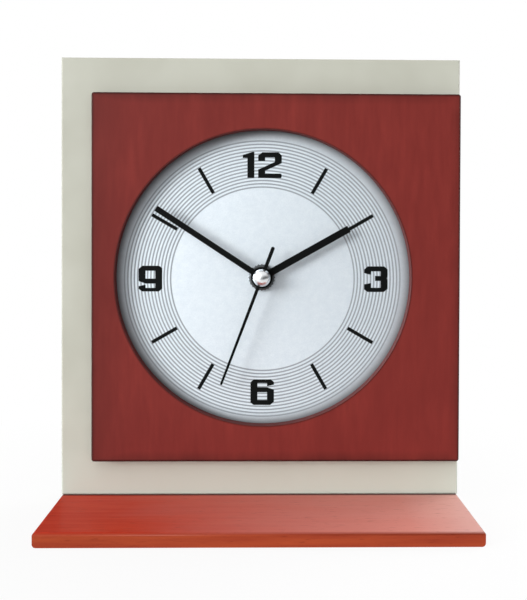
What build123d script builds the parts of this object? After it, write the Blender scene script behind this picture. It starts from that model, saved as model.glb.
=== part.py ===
from build123d import *
import os
from math import asin, atan2, cos, pi, sin

# Base plank, as wide as the board
base_thickness = 5.5
base_front_reach = 50.0
base_rear_reach = 10.0
base_edge_radius = 1.2

# Back board, as margins round the frame
board_left_margin = 13.3
board_right_margin = 0.7
board_top_margin = 15.0
board_bottom_margin = 15.0
board_thickness = 15.0
board_web = 3.0
board_bevel = 0.5
pocket_clearance = 1.0
pocket_corner_radius = 4.0

# Front frame, with rails left and right of its round opening
frame_side = 150.0
frame_thickness = 6.0
frame_corner_radius = 1.0
frame_bevel = 0.6
opening_left_rail = 9.3
opening_right_rail = 19.8

# Dial, set flush in the board behind the frame
dial_overlap = 1.6
dial_thickness = 0.8
dial_clearance = 0.2
dial_left_shift = 0.7

# Wood screws
screw_diameter = 3.0
screw_head_diameter = 6.0
screw_head_height = 1.7
screw_head_recess = 0.3
base_screw_length = 32.0
base_screw_inset = 37.0
frame_screw_length = 19.0
frame_screw_inset = 12.0

# Turned details are drawn with this many flats
small_round_sides = 12
wide_round_sides = 24

# Fits
screw_clearance = 0.05
running_clearance = 0.05
push_clearance = 0.02
end_play = 0.1
cut_overrun = 1.0

# Quartz movement housing
train_width = 53.6
train_rise = 26.8
train_drop = 10.6
case_depth = 15.0
case_wall = 1.2
case_corner_radius = 3.0
gasket_thickness = 0.8
gasket_diameter = 18.0
bay_clearance = 0.4
cover_lip = 0.6
cover_clearance = 0.1
bush_diameter = 7.9
bush_proud = 2.8
bush_hole_clearance = 0.2
nut_diameter = 11.1
nut_height = 2.2
nut_bevel = 0.3
pivot_boss_diameter = 2.4
front_boss_height = 0.6
cover_boss_height = 1.0
pivot_sink = 0.5

# Hands
hand_thickness = 0.4
hand_hub_diameter = 8.6
hour_tip_gap = 19.5
hour_hand_width = 2.9
hour_hand_height = 3.3
hour_hand_angle = 60.6
minute_tip_gap = 9.0
minute_hand_width = 2.4
minute_hand_height = 4.8
minute_hand_angle = 303.2
second_tip_gap = 14.0
second_hand_tail = 13.5
second_hand_hub_width = 1.5
second_hand_tip_width = 0.95
second_hand_height = 6.3
second_hand_angle = 200.7
second_pipe_diameter = 1.8
second_pipe_length = 0.9
cap_diameter = 7.1
cap_height = 2.7
cap_bands = 3

# Teeth, as shares of the module and of the tooth pitch
tooth_addendum_share = 0.75
tooth_dedendum_share = 1.05
tooth_tip_half_share = 0.15
tooth_root_half_share = 0.27

# Wheel train: teeth and axis distances
rotor_pinion_teeth = 8
fifth_wheel_teeth = 30
fifth_pinion_teeth = 6
seconds_wheel_teeth = 48
seconds_pinion_teeth = 6
third_wheel_teeth = 45
third_pinion_teeth = 6
centre_wheel_teeth = 48
cannon_pinion_teeth = 8
motion_wheel_teeth = 24
motion_pinion_teeth = 8
hour_wheel_teeth = 32
knob_pinion_teeth = 8
rotor_distance = 5.7
fifth_distance = 10.8
third_distance = 10.8
motion_distance = 8.4
rotor_direction = 20.0
fifth_direction = 20.0
third_direction = 135.0
motion_direction = 180.0
knob_direction = 180.0

# Wheel train: thicknesses and arbors
wheel_thickness = 0.6
pinion_height = 1.0
layer_gap = 0.4
arbor_diameter = 0.8
seconds_arbor_diameter = 0.9
minute_tube_diameter = 2.8
minute_sleeve_diameter = 2.0
centre_hub_diameter = 3.6
hour_tube_diameter = 4.6
motion_post_diameter = 1.6

# Setting knob
knob_arbor_diameter = 1.6
knob_diameter = 13.0
knob_height = 4.0
knob_gap = 0.3
knob_serrations = 24

# Step motor
magnet_diameter = 4.0
magnet_height = 2.5
rotor_air_gap = 0.6
stator_thickness = 0.8
stator_rim = 1.1
stator_arm_width = 3.0
stator_post_diameter = 2.4
coil_offset = 7.3
coil_length = 15.0
coil_diameter = 6.2
spool_flange_side = 6.6
spool_flange_thickness = 0.8
spool_core_diameter = 3.8
core_width = 2.4
core_clearance = 0.05

# Circuit board
circuit_length = 28.0
circuit_height = 6.5
circuit_thickness = 0.8
circuit_inset = 0.8
circuit_offset = -6.0
circuit_boss_height = 1.6
circuit_boss_diameter = 3.0
chip_side = 4.0
chip_height = 0.9
crystal_diameter = 2.0
crystal_length = 6.0
part_spacing = 4.0

# Battery and contacts
battery_diameter = 14.2
battery_length = 49.0
battery_nub_diameter = 5.2
battery_nub_length = 1.3
battery_clearance = 0.15
contact_thickness = 0.4
contact_width = 6.0
contact_height = 9.0
contact_tab_rise = 5.0
contact_bow = 2.1
contact_gap = 0.2
contact_slot_clearance = 0.2

# Levels along the clock's axis, from the dial's face towards the viewer
pocket_floor = -dial_thickness - board_web
case_front = pocket_floor - gasket_thickness
case_inside = case_front - case_wall
case_back = case_front - case_depth
cover_inside = case_back + case_wall
layer_pitch = pinion_height + layer_gap
hour_level = case_inside - layer_gap - pinion_height
motion_level = hour_level - layer_pitch
centre_level = motion_level - layer_pitch
third_level = centre_level - layer_pitch
seconds_level = third_level - layer_pitch
fifth_level = seconds_level - layer_pitch
stator_level = third_level
front_pivot = case_inside + front_boss_height - case_wall + pivot_sink
cover_pivot = cover_inside - pivot_sink

# Places on the clock's face, seen from the front, counted from the hands' axis
opening_diameter = frame_side - opening_left_rail - opening_right_rail
opening_middle = (dial_left_shift, 0)
frame_left = dial_left_shift - opening_diameter / 2 - opening_left_rail
frame_middle = frame_left + frame_side / 2
frame_screw_reach = frame_side / 2 - frame_screw_inset
board_width = board_left_margin + frame_side + board_right_margin
board_height = board_bottom_margin + frame_side + board_top_margin
board_middle = frame_left - board_left_margin + board_width / 2
board_bottom = -frame_side / 2 - board_bottom_margin
base_depth = base_front_reach + board_thickness + base_rear_reach
dial_diameter = opening_diameter + 2 * dial_overlap
hour_hand_length = opening_diameter / 2 - hour_tip_gap
minute_hand_length = opening_diameter / 2 - minute_tip_gap
second_hand_length = opening_diameter / 2 - second_tip_gap

# The movement's housing: the train's chamber above the battery's bay
bay_length = battery_length + battery_nub_length + contact_bow + 2 * (contact_thickness + contact_gap)
bay_height = battery_diameter + 2 * bay_clearance
chamber_width = max(train_width, bay_length)
chamber_right = chamber_width / 2
chamber_height = train_rise + train_drop
chamber_middle = (0, train_rise - chamber_height / 2)
bay_left = chamber_right - bay_length
bay_top = -train_drop - case_wall
bay_middle = ((bay_left + chamber_right) / 2, bay_top - bay_height / 2)
case_width = chamber_width + 2 * case_wall
case_height = chamber_height + bay_height + 3 * case_wall
case_middle = (0, train_rise + case_wall - case_height / 2)
battery_left = bay_left + contact_thickness + contact_bow + contact_gap
battery_level = case_inside - battery_clearance - battery_diameter / 2


def around(direction, distance, start=(0, 0)):
    """A point at a distance from a start, with the direction counted from the right, counterclockwise."""
    turn = direction * pi / 180
    return (start[0] + distance * cos(turn), start[1] + distance * sin(turn))


fifth_axis = around(fifth_direction, fifth_distance)
rotor_axis = around(rotor_direction, rotor_distance, fifth_axis)
third_axis = around(third_direction, third_distance)
motion_axis = around(motion_direction, motion_distance)


def module_of(distance, teeth, mating_teeth):
    return 2 * distance / (teeth + mating_teeth)


rotor_module = module_of(rotor_distance, rotor_pinion_teeth, fifth_wheel_teeth)
fifth_module = module_of(fifth_distance, fifth_pinion_teeth, seconds_wheel_teeth)
third_module = module_of(third_distance, seconds_pinion_teeth, third_wheel_teeth)
centre_module = module_of(third_distance, third_pinion_teeth, centre_wheel_teeth)
cannon_module = module_of(motion_distance, cannon_pinion_teeth, motion_wheel_teeth)
hour_module = module_of(motion_distance, motion_pinion_teeth, hour_wheel_teeth)
knob_distance = cannon_module * (knob_pinion_teeth + motion_wheel_teeth) / 2
knob_axis = around(knob_direction, knob_distance, motion_axis)

# The whole clock stands on its base, with the dial facing along -Y
clock_face = Plane(
    origin=(-board_middle, base_front_reach - base_depth / 2, base_thickness - board_bottom),
    x_dir=(1, 0, 0),
    z_dir=(0, -1, 0),
)


def save(name, shape):
    """Move a piece from the clock's face to the standing clock and write it under its name."""
    export_step(Location(clock_face) * shape, f"parts/{name}.step")


def block(width, height, back, front, middle=(0, 0)):
    """A rectangular block between two levels."""
    return Pos(middle[0], middle[1], (back + front) / 2) * Box(width, height, front - back)


def disc(diameter, back, front, middle=(0, 0)):
    """A round disc or rod between two levels."""
    return Pos(middle[0], middle[1], (back + front) / 2) * Cylinder(diameter / 2, front - back)


def rod(diameter, back, front, middle=(0, 0), sides=small_round_sides):
    """A turned rod or boss with flats, its corners on the circle of its diameter."""
    return Pos(middle[0], middle[1], back) * extrude(RegularPolygon(diameter / 2, sides), front - back)


def bore(diameter, back, front, middle=(0, 0), sides=small_round_sides):
    """A hole with flats, as wide across them as the diameter."""
    outline = RegularPolygon(diameter / 2, sides, major_radius=False)
    return Pos(middle[0], middle[1], back) * extrude(outline, front - back)


def rounded_block(width, height, back, front, radius, middle=(0, 0)):
    """A block whose four long edges are rounded."""
    return Pos(middle[0], middle[1], back) * extrude(RectangleRounded(width, height, radius), front - back)


def toothed(module, teeth, back, front, middle, phase):
    """A spur wheel with straight-sided teeth, one of them centred at the phase angle."""
    pitch = 2 * pi / teeth
    tip = module * (teeth / 2 + tooth_addendum_share)
    root = module * (teeth / 2 - tooth_dedendum_share)
    corners = (
        (root, -tooth_root_half_share),
        (tip, -tooth_tip_half_share),
        (tip, tooth_tip_half_share),
        (root, tooth_root_half_share),
    )
    outline = []
    for tooth in range(teeth):
        for radius, offset in corners:
            turn = phase * pi / 180 + (tooth + offset) * pitch
            outline.append((radius * cos(turn), radius * sin(turn)))
    face = make_face(Polyline(*outline, close=True))
    return Pos(middle[0], middle[1], back) * extrude(face, front - back)


def meshing_phase(teeth, phase, mating_teeth, direction):
    """The phase of a wheel that meshes with another, which lies in the direction from the first."""
    return direction + 180 + (180 + (direction - phase) * teeth) / mating_teeth


def wheel_band(level):
    """The levels of a thin wheel centred on a pinion's height."""
    middle = level + pinion_height / 2
    return middle - wheel_thickness / 2, middle + wheel_thickness / 2


def screw_form(length, clearance):
    """A countersunk form along +Z, with the flat face of its head at zero."""
    rim = RegularPolygon(screw_head_diameter / 2 + clearance, small_round_sides, major_radius=False)
    slope = atan2((screw_head_diameter - screw_diameter) / 2, screw_head_height)
    head = extrude(rim, screw_head_height, taper=slope * 180 / pi)
    return head + bore(screw_diameter + 2 * clearance, 0, length + clearance)


def wood_screw(length):
    """A countersunk wood screw."""
    return screw_form(length, 0)


def screw_hole(length):
    """The countersunk hole that a wood screw fills, open below its head."""
    mouth = bore(screw_head_diameter + 2 * screw_clearance, -screw_head_recess - cut_overrun, 0)
    return screw_form(length, screw_clearance) + mouth


def base_screw_places():
    """Where the base screws stand: upright, under the middle of the board's thickness."""
    bottom = board_bottom - base_thickness + screw_head_recess
    reach = board_width / 2 - base_screw_inset
    for side in (-1, 1):
        place = (board_middle + side * reach, bottom, -board_thickness / 2)
        yield Location(Plane(origin=place, x_dir=(1, 0, 0), z_dir=(0, 1, 0)))


def frame_screw_places():
    """Where the frame screws lie: from the board's back, at the frame's four corners."""
    for across in (-1, 1):
        for up in (-1, 1):
            place = (frame_middle + across * frame_screw_reach, up * frame_screw_reach)
            yield Pos(place[0], place[1], -board_thickness + screw_head_recess)


def base_plank():
    """The stained plank that the clock stands on."""
    middle = base_front_reach - base_depth / 2
    plank = Box(board_width, base_thickness, base_depth)
    plank = fillet(plank.faces().sort_by(Axis.Y)[-1].edges(), base_edge_radius)
    plank = Pos(board_middle, board_bottom - base_thickness / 2, middle) * plank
    for place in base_screw_places():
        plank -= place * screw_hole(base_screw_length)
    return plank


def bush_hole(back, front):
    """The hole that the movement's bush passes through, open at both levels."""
    diameter = bush_diameter + 2 * bush_hole_clearance
    return bore(diameter, back - cut_overrun, front + cut_overrun, sides=wide_round_sides)


def back_board():
    """The painted board, with the dial's shallow recess in front and the movement's pocket behind."""
    board = Box(board_width, board_height, board_thickness)
    board = chamfer(board.faces().sort_by(Axis.Z)[-1].edges(), board_bevel)
    board = Pos(board_middle, board_bottom + board_height / 2, -board_thickness / 2) * board
    board -= disc(dial_diameter + 2 * dial_clearance, -dial_thickness, cut_overrun)
    width = case_width + 2 * pocket_clearance
    height = case_height + 2 * pocket_clearance
    mouth = -board_thickness - cut_overrun
    board -= rounded_block(width, height, mouth, pocket_floor, pocket_corner_radius, case_middle)
    board -= bush_hole(pocket_floor, 0)
    for place in frame_screw_places():
        board -= place * screw_hole(frame_screw_length)
    for place in base_screw_places():
        board -= place * screw_hole(base_screw_length)
    return board


def front_frame():
    """The stained square frame with its round opening."""
    frame = Box(frame_side, frame_side, frame_thickness)
    frame = fillet(frame.edges().filter_by(Axis.Z), frame_corner_radius)
    frame = chamfer(frame.faces().sort_by(Axis.Z)[-1].edges(), frame_bevel)
    frame = Pos(frame_middle, 0, frame_thickness / 2) * frame
    frame -= disc(opening_diameter, -cut_overrun, frame_thickness + cut_overrun, opening_middle)
    for place in frame_screw_places():
        frame -= place * screw_hole(frame_screw_length)
    return frame


def dial_plate():
    """The thin metal dial."""
    return disc(dial_diameter, -dial_thickness, 0) - bush_hole(-dial_thickness, 0)


def bush_gasket():
    """The rubber washer between the movement and the board."""
    gasket = rod(gasket_diameter, case_front, pocket_floor, sides=wide_round_sides)
    return gasket - bush_hole(case_front, pocket_floor)


def bush_nut():
    """The nut that clamps the movement, gasket, board and dial together, with flats to grip."""
    nut = rod(nut_diameter, 0, nut_height, sides=wide_round_sides)
    nut = chamfer(nut.faces().sort_by(Axis.Z)[-1].edges(), nut_bevel)
    hole = bush_diameter + 2 * push_clearance
    return nut - bore(hole, -cut_overrun, nut_height + cut_overrun, sides=wide_round_sides)


def pivot_holes(axes, back, front):
    """Round holes for the arbors' ends."""
    return [bore(arbor_diameter + 2 * running_clearance, back, front, axis) for axis in axes]


def movement_case():
    """The moulded housing: train chamber above, battery bay below, threaded bush in front."""
    case = rounded_block(case_width, case_height, case_back, case_front, case_corner_radius, case_middle)
    mouth = case_back - cut_overrun
    case -= block(chamber_width, chamber_height, mouth, case_inside, chamber_middle)
    lip = 2 * cover_lip
    case -= block(chamber_width + lip, chamber_height + lip, mouth, cover_inside, chamber_middle)
    case -= block(bay_length, bay_height, mouth, case_inside, bay_middle)
    slot = contact_thickness + contact_slot_clearance
    half_width = contact_width / 2 + contact_slot_clearance
    for middle in (bay_left + slot / 2, chamber_right - slot / 2):
        place = (middle, bay_top + case_wall / 2)
        slot_height = case_wall + 2 * cover_lip
        case -= block(slot, slot_height, battery_level - half_width, battery_level + half_width, place)
    case += disc(bush_diameter, case_inside, bush_proud)
    post_back = centre_level + pinion_height + layer_gap / 2
    case += rod(motion_post_diameter, post_back, case_inside, motion_axis)
    pivots = (third_axis, fifth_axis, rotor_axis, knob_axis)
    for axis in pivots:
        case += rod(pivot_boss_diameter, case_inside - front_boss_height, case_inside, axis)
    hole_end = front_pivot + end_play
    for hole in pivot_holes(pivots[:-1], case_inside - front_boss_height - cut_overrun, hole_end):
        case -= hole
    knob_hole = knob_arbor_diameter + 2 * running_clearance
    case -= bore(knob_hole, case_inside - front_boss_height - cut_overrun, hole_end, knob_axis)
    for place in stator_post_places():
        case += rod(stator_post_diameter, stator_level + stator_thickness, case_inside, place)
    hour_hole = hour_tube_diameter + 2 * running_clearance
    return case - bore(hour_hole, case_inside - cut_overrun, bush_proud + cut_overrun)


def movement_cover():
    """The lid over the train chamber, with the arbors' rear bearings and the circuit board's bosses."""
    lip = 2 * (cover_lip - cover_clearance)
    cover = block(chamber_width + lip, chamber_height + lip, case_back, cover_inside, chamber_middle)
    pivots = ((0, 0), third_axis, fifth_axis, rotor_axis)
    boss_front = cover_inside + cover_boss_height
    for axis in (*pivots, knob_axis):
        cover += rod(pivot_boss_diameter, cover_inside, boss_front, axis)
    hole_end = cover_pivot - end_play
    for hole in pivot_holes(pivots, hole_end, boss_front + cut_overrun):
        cover -= hole
    seconds_hole = seconds_arbor_diameter + 2 * running_clearance
    cover -= bore(seconds_hole, hole_end, boss_front + cut_overrun)
    knob_hole = knob_arbor_diameter + 2 * running_clearance
    cover -= bore(knob_hole, case_back - cut_overrun, boss_front + cut_overrun, knob_axis)
    for place in circuit_boss_places():
        cover += rod(circuit_boss_diameter, cover_inside, cover_inside + circuit_boss_height, place)
    return cover


def circuit_middle():
    return (circuit_offset, train_rise - circuit_inset - circuit_height / 2)


def circuit_boss_places():
    """Two bosses that hold the circuit board off the lid."""
    middle = circuit_middle()
    for side in (-1 / 3, 1 / 3):
        yield (middle[0] + side * circuit_length, middle[1])


def circuit_board():
    """The small board that runs the step motor."""
    back = cover_inside + circuit_boss_height
    return block(circuit_length, circuit_height, back, back + circuit_thickness, circuit_middle())


def control_chip():
    """The chip under its drop of resin."""
    middle = circuit_middle()
    back = cover_inside + circuit_boss_height + circuit_thickness
    place = (middle[0] + part_spacing, middle[1])
    return block(chip_side, chip_side, back, back + chip_height, place)


def quartz_crystal():
    """The crystal's metal can, lying on the circuit board."""
    middle = circuit_middle()
    level = cover_inside + circuit_boss_height + circuit_thickness + crystal_diameter / 2
    can = Rot(0, 90, 0) * Cylinder(crystal_diameter / 2, crystal_length)
    return Pos(middle[0] - part_spacing, middle[1], level + push_clearance) * can


def stator_span():
    """The stator's left, right, bottom and top edges, set by the rotor and the coil."""
    hole_radius = magnet_diameter / 2 + rotor_air_gap
    left = rotor_axis[0] - hole_radius - stator_rim
    right = rotor_axis[0] + hole_radius + stator_rim
    reach = coil_length / 2 + stator_arm_width
    return left, right, rotor_axis[1] - reach, rotor_axis[1] + reach


def stator_post_places():
    """Two posts under the stator's left corners."""
    left, _, bottom, top = stator_span()
    inset = stator_arm_width / 2
    return [(left + inset, bottom + inset), (left + inset, top - inset)]


def stator():
    """The soft-iron plate round the rotor, with an arm to each end of the coil."""
    left, right, bottom, top = stator_span()
    back, front = stator_level, stator_level + stator_thickness
    middle_height = (bottom + top) / 2
    plate = block(right - left, top - bottom, back, front, ((left + right) / 2, middle_height))
    arm_right = rotor_axis[0] + coil_offset + core_width / 2
    arm_length = arm_right - left
    for edge in (bottom + stator_arm_width / 2, top - stator_arm_width / 2):
        plate += block(arm_length, stator_arm_width, back, front, (left + arm_length / 2, edge))
    hole = magnet_diameter + 2 * rotor_air_gap
    return plate - bore(hole, back - cut_overrun, front + cut_overrun, rotor_axis)


def coil_axis():
    """The coil's middle: its place on the face and its level, half a core behind the stator."""
    return (rotor_axis[0] + coil_offset, rotor_axis[1], stator_level - stator_thickness / 2)


def coil_core():
    """The soft-iron bar through the coil, bridging the stator's arms."""
    across, up, _ = coil_axis()
    length = coil_length + 2 * stator_arm_width
    return block(core_width, length, stator_level - stator_thickness, stator_level, (across, up))


def along_coil(shape):
    return Pos(*coil_axis()) * (Rot(90, 0, 0) * shape)


def coil_spool():
    """The plastic spool of the coil."""
    length = coil_length - 2 * end_play
    spool = along_coil(rod(spool_core_diameter, -length / 2, length / 2))
    across, up, level = coil_axis()
    flange_half = spool_flange_side / 2
    for side in (-1 / 2, 1 / 2):
        place = (across, up + side * (length - spool_flange_thickness))
        spool += block(
            spool_flange_side, spool_flange_thickness, level - flange_half, level + flange_half, place
        )
    slot_half = stator_thickness / 2 + core_clearance
    slot_width = core_width + 2 * core_clearance
    slot_length = coil_length + 2 * cut_overrun
    return spool - block(slot_width, slot_length, level - slot_half, level + slot_half, (across, up))


def coil_winding():
    """The copper winding between the spool's flanges."""
    half = coil_length / 2 - end_play - spool_flange_thickness
    hole = spool_core_diameter + 2 * push_clearance
    return along_coil(rod(coil_diameter, -half, half) - bore(hole, -half - cut_overrun, half + cut_overrun))


def contact_plate(middle):
    """A contact's upright plate at one end of the bay, with its tab through the wall above."""
    bottom = bay_middle[1] - contact_height / 2
    height = contact_tab_rise - train_drop - bottom
    half_width = contact_width / 2
    place = (middle, bottom + height / 2)
    return block(contact_thickness, height, battery_level - half_width, battery_level + half_width, place)


def positive_contact():
    """The flat contact at the battery's nub."""
    return contact_plate(chamber_right - contact_thickness / 2)


def negative_contact():
    """The bowed leaf contact at the battery's flat end."""
    root = bay_left + contact_thickness
    crest = root + contact_bow
    middle = bay_middle[1]
    half = contact_height / 2
    leaf = make_face(
        Polyline(
            (root, middle - half),
            (crest, middle),
            (root, middle + half),
            (root, middle + half - contact_thickness),
            (crest - contact_thickness, middle),
            (root, middle - half + contact_thickness),
            close=True,
        )
    )
    leaf = Pos(0, 0, battery_level - contact_width / 2) * extrude(leaf, contact_width)
    return contact_plate(bay_left + contact_thickness / 2) + leaf


def battery():
    """The single dry cell, lying across the bay."""
    body = Cylinder(battery_diameter / 2, battery_length)
    nub_level = (battery_length + battery_nub_length) / 2
    body += Pos(0, 0, nub_level) * Cylinder(battery_nub_diameter / 2, battery_nub_length)
    middle = battery_left + battery_length / 2
    return Pos(middle, bay_middle[1], battery_level) * (Rot(0, 90, 0) * body)


fifth_phase = meshing_phase(seconds_wheel_teeth, 0, fifth_pinion_teeth, fifth_direction)
rotor_phase = meshing_phase(fifth_wheel_teeth, 0, rotor_pinion_teeth, rotor_direction)
third_phase = meshing_phase(seconds_pinion_teeth, 0, third_wheel_teeth, third_direction)
third_pinion_phase = meshing_phase(centre_wheel_teeth, 0, third_pinion_teeth, third_direction)
motion_phase = meshing_phase(cannon_pinion_teeth, 0, motion_wheel_teeth, motion_direction)
motion_pinion_phase = meshing_phase(hour_wheel_teeth, 0, motion_pinion_teeth, motion_direction)
knob_phase = meshing_phase(motion_wheel_teeth, motion_phase, knob_pinion_teeth, knob_direction)


def train_arbor(axis):
    """A thin arbor from the housing's bearing to the lid's."""
    return rod(arbor_diameter, cover_pivot, front_pivot, axis)


def pinion(module, teeth, level, axis, phase):
    return toothed(module, teeth, level, level + pinion_height, axis, phase)


def wheel(module, teeth, level, axis, phase):
    back, front = wheel_band(level)
    return toothed(module, teeth, back, front, axis, phase)


def rotor():
    """The step motor's rotor: magnet and pinion on one arbor."""
    turned = train_arbor(rotor_axis)
    turned += pinion(rotor_module, rotor_pinion_teeth, fifth_level, rotor_axis, rotor_phase)
    level = stator_level + stator_thickness / 2
    return turned + rod(magnet_diameter, level - magnet_height / 2, level + magnet_height / 2, rotor_axis)


def fifth_wheel():
    """The wheel between the rotor and the seconds wheel."""
    back, front = wheel_band(fifth_level)
    turned = train_arbor(fifth_axis)
    turned += toothed(rotor_module, fifth_wheel_teeth, back, front, fifth_axis, 0)
    return turned + pinion(fifth_module, fifth_pinion_teeth, seconds_level, fifth_axis, fifth_phase)


def seconds_wheel():
    """The wheel that turns once a minute, on the long arbor that carries the second hand."""
    turned = wheel(fifth_module, seconds_wheel_teeth, seconds_level, (0, 0), 0)
    turned += pinion(third_module, seconds_pinion_teeth, third_level, (0, 0), 0)
    return turned + rod(seconds_arbor_diameter, cover_pivot, second_hand_height + hand_thickness)


def third_wheel():
    """The wheel between the seconds wheel and the centre wheel."""
    turned = wheel(third_module, third_wheel_teeth, third_level, third_axis, third_phase)
    turned += pinion(centre_module, third_pinion_teeth, centre_level, third_axis, third_pinion_phase)
    return turned + train_arbor(third_axis)


def centre_wheel():
    """The wheel that turns once an hour, held on the minute arbor by friction."""
    turned = wheel(centre_module, centre_wheel_teeth, centre_level, (0, 0), 0)
    back, front = centre_level, motion_level
    turned += rod(centre_hub_diameter, back, front)
    hole = minute_sleeve_diameter + 2 * push_clearance
    return turned - bore(hole, back - cut_overrun, front + cut_overrun)


def minute_arbor():
    """The tube that carries the minute hand, with its pinion for the motion work."""
    tube = rod(minute_tube_diameter, motion_level, minute_hand_height + hand_thickness)
    tube += rod(minute_sleeve_diameter, centre_level, motion_level)
    tube += pinion(cannon_module, cannon_pinion_teeth, motion_level, (0, 0), 0)
    hole = seconds_arbor_diameter + 2 * running_clearance
    top = minute_hand_height + hand_thickness + cut_overrun
    return tube - bore(hole, centre_level - cut_overrun, top)


def motion_wheel():
    """The motion wheel on its post, between the minute arbor, the hour wheel and the knob."""
    back, front = wheel_band(motion_level)
    turned = toothed(cannon_module, motion_wheel_teeth, back, front, motion_axis, motion_phase)
    hub_top = hour_level + pinion_height
    turned += toothed(hour_module, motion_pinion_teeth, front, hub_top, motion_axis, motion_pinion_phase)
    hole = motion_post_diameter + 2 * running_clearance
    return turned - bore(hole, back - cut_overrun, hub_top + cut_overrun, motion_axis)


def hour_wheel():
    """The hour wheel on the tube that carries the hour hand."""
    back, front = wheel_band(hour_level)
    turned = toothed(hour_module, hour_wheel_teeth, back, front, (0, 0), 0)
    top = hour_hand_height + hand_thickness
    turned += rod(hour_tube_diameter, back, top)
    hole = minute_tube_diameter + 2 * running_clearance
    return turned - bore(hole, back - cut_overrun, top + cut_overrun)


def setting_knob():
    """The knob behind the movement that sets the hands, with its arbor and pinion."""
    knob_front = case_back - knob_gap
    knob_back = knob_front - knob_height
    grip_module = knob_diameter / (knob_serrations + 2 * tooth_addendum_share)
    knob = toothed(grip_module, knob_serrations, knob_back, knob_front, knob_axis, 0)
    knob += rod(knob_arbor_diameter, knob_front, front_pivot, knob_axis)
    return knob + pinion(cannon_module, knob_pinion_teeth, motion_level, knob_axis, knob_phase)


def hand_blade(length, width, level, hole):
    """A straight hand with a round hub, pointing up."""
    front = level + hand_thickness
    blade = block(width, length, level, front, (0, length / 2))
    blade += disc(hand_hub_diameter, level, front)
    return blade - bore(hole + 2 * push_clearance, level - cut_overrun, front + cut_overrun)


def hour_hand():
    blade = hand_blade(hour_hand_length, hour_hand_width, hour_hand_height, hour_tube_diameter)
    return Rot(0, 0, -hour_hand_angle) * blade


def minute_hand():
    blade = hand_blade(minute_hand_length, minute_hand_width, minute_hand_height, minute_tube_diameter)
    return Rot(0, 0, -minute_hand_angle) * blade


def second_hand():
    """The slim tapered hand with its round-ended tail and short pipe."""
    hub = second_hand_hub_width / 2
    tip = second_hand_tip_width / 2
    tail = hub - second_hand_tail
    end = second_hand_length
    outline = make_face(Polyline((hub, tail), (tip, end), (-tip, end), (-hub, tail), close=True))
    outline += Pos(0, tail) * Circle(hub)
    blade = Pos(0, 0, second_hand_height) * extrude(outline, hand_thickness)
    pipe_bottom = second_hand_height - second_pipe_length
    blade += rod(second_pipe_diameter, pipe_bottom, second_hand_height)
    hole = seconds_arbor_diameter + 2 * push_clearance
    blade -= bore(hole, pipe_bottom - cut_overrun, second_hand_height + hand_thickness + cut_overrun)
    return Rot(0, 0, -second_hand_angle) * blade


def hand_cap():
    """The domed bright cap over the hands' centre, turned in a few bands."""
    level = second_hand_height + hand_thickness
    radius = cap_diameter / 2
    sphere_radius = (radius**2 + cap_height**2) / (2 * cap_height)
    sphere_level = level + cap_height - sphere_radius
    band_turn = asin(radius / sphere_radius) / cap_bands
    profile = [(0, level)]
    for band in range(cap_bands, -1, -1):
        turn = band * band_turn
        profile.append((sphere_radius * sin(turn), sphere_level + sphere_radius * cos(turn)))
    return revolve(Plane.XZ * make_face(Polyline(*profile, close=True)), Axis.Z)


def base_screws():
    return Compound([place * wood_screw(base_screw_length) for place in base_screw_places()])


def frame_screws():
    return Compound([place * wood_screw(frame_screw_length) for place in frame_screw_places()])


pieces = (
    base_plank, back_board, front_frame, dial_plate, base_screws, frame_screws,
    bush_gasket, bush_nut, movement_case, movement_cover,
    circuit_board, control_chip, quartz_crystal, stator, coil_core, coil_spool, coil_winding,
    positive_contact, negative_contact, battery,
    rotor, fifth_wheel, seconds_wheel, third_wheel, centre_wheel, minute_arbor,
    motion_wheel, hour_wheel, setting_knob, hour_hand, minute_hand, second_hand, hand_cap,
)

os.makedirs("parts", exist_ok=True)
for piece in pieces:
    save(piece.__name__, piece())
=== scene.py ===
import math

import bmesh
import bpy
from bpy.props import FloatProperty, FloatVectorProperty, IntProperty, PointerProperty
from mathutils import Matrix, Vector


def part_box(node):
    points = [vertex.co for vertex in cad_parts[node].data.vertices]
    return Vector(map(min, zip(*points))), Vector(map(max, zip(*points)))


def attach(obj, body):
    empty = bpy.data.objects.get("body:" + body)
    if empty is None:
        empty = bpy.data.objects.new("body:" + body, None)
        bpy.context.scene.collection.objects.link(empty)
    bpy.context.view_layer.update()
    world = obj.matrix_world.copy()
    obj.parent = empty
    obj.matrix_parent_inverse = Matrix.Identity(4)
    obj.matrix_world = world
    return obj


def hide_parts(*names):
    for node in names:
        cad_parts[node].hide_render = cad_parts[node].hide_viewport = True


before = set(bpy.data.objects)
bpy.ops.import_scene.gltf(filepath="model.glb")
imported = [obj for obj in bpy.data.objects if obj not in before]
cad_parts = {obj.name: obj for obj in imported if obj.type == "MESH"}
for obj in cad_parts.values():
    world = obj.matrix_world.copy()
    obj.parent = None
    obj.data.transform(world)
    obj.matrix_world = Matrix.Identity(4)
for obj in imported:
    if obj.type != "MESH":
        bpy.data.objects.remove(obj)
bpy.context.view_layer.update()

bl_info = {
    "name": "Table clock",
    "version": (1, 0, 0),
    "blender": (4, 5, 0),
    "location": "View3D > Sidebar > Table clock",
    "description": "Dresses a wooden table clock: dial print, bright fittings, finishes, light and camera",
    "category": "Object",
}

MM = 0.001
FULL_TURN = 2 * math.pi
MERGE_DISTANCE = 0.001 * MM

# The hands' axis on the dial's face, and the turn that stands a flat drawing up to face the viewer
dial_low, dial_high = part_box("dial_plate")
dial_centre = (dial_low + dial_high) / 2
face_origin = Vector((dial_centre.x, dial_low.y, dial_centre.z))
STAND_UP = Matrix.Rotation(math.pi / 2, 4, "X")
FACE = Matrix.Translation(face_origin) @ STAND_UP

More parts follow.
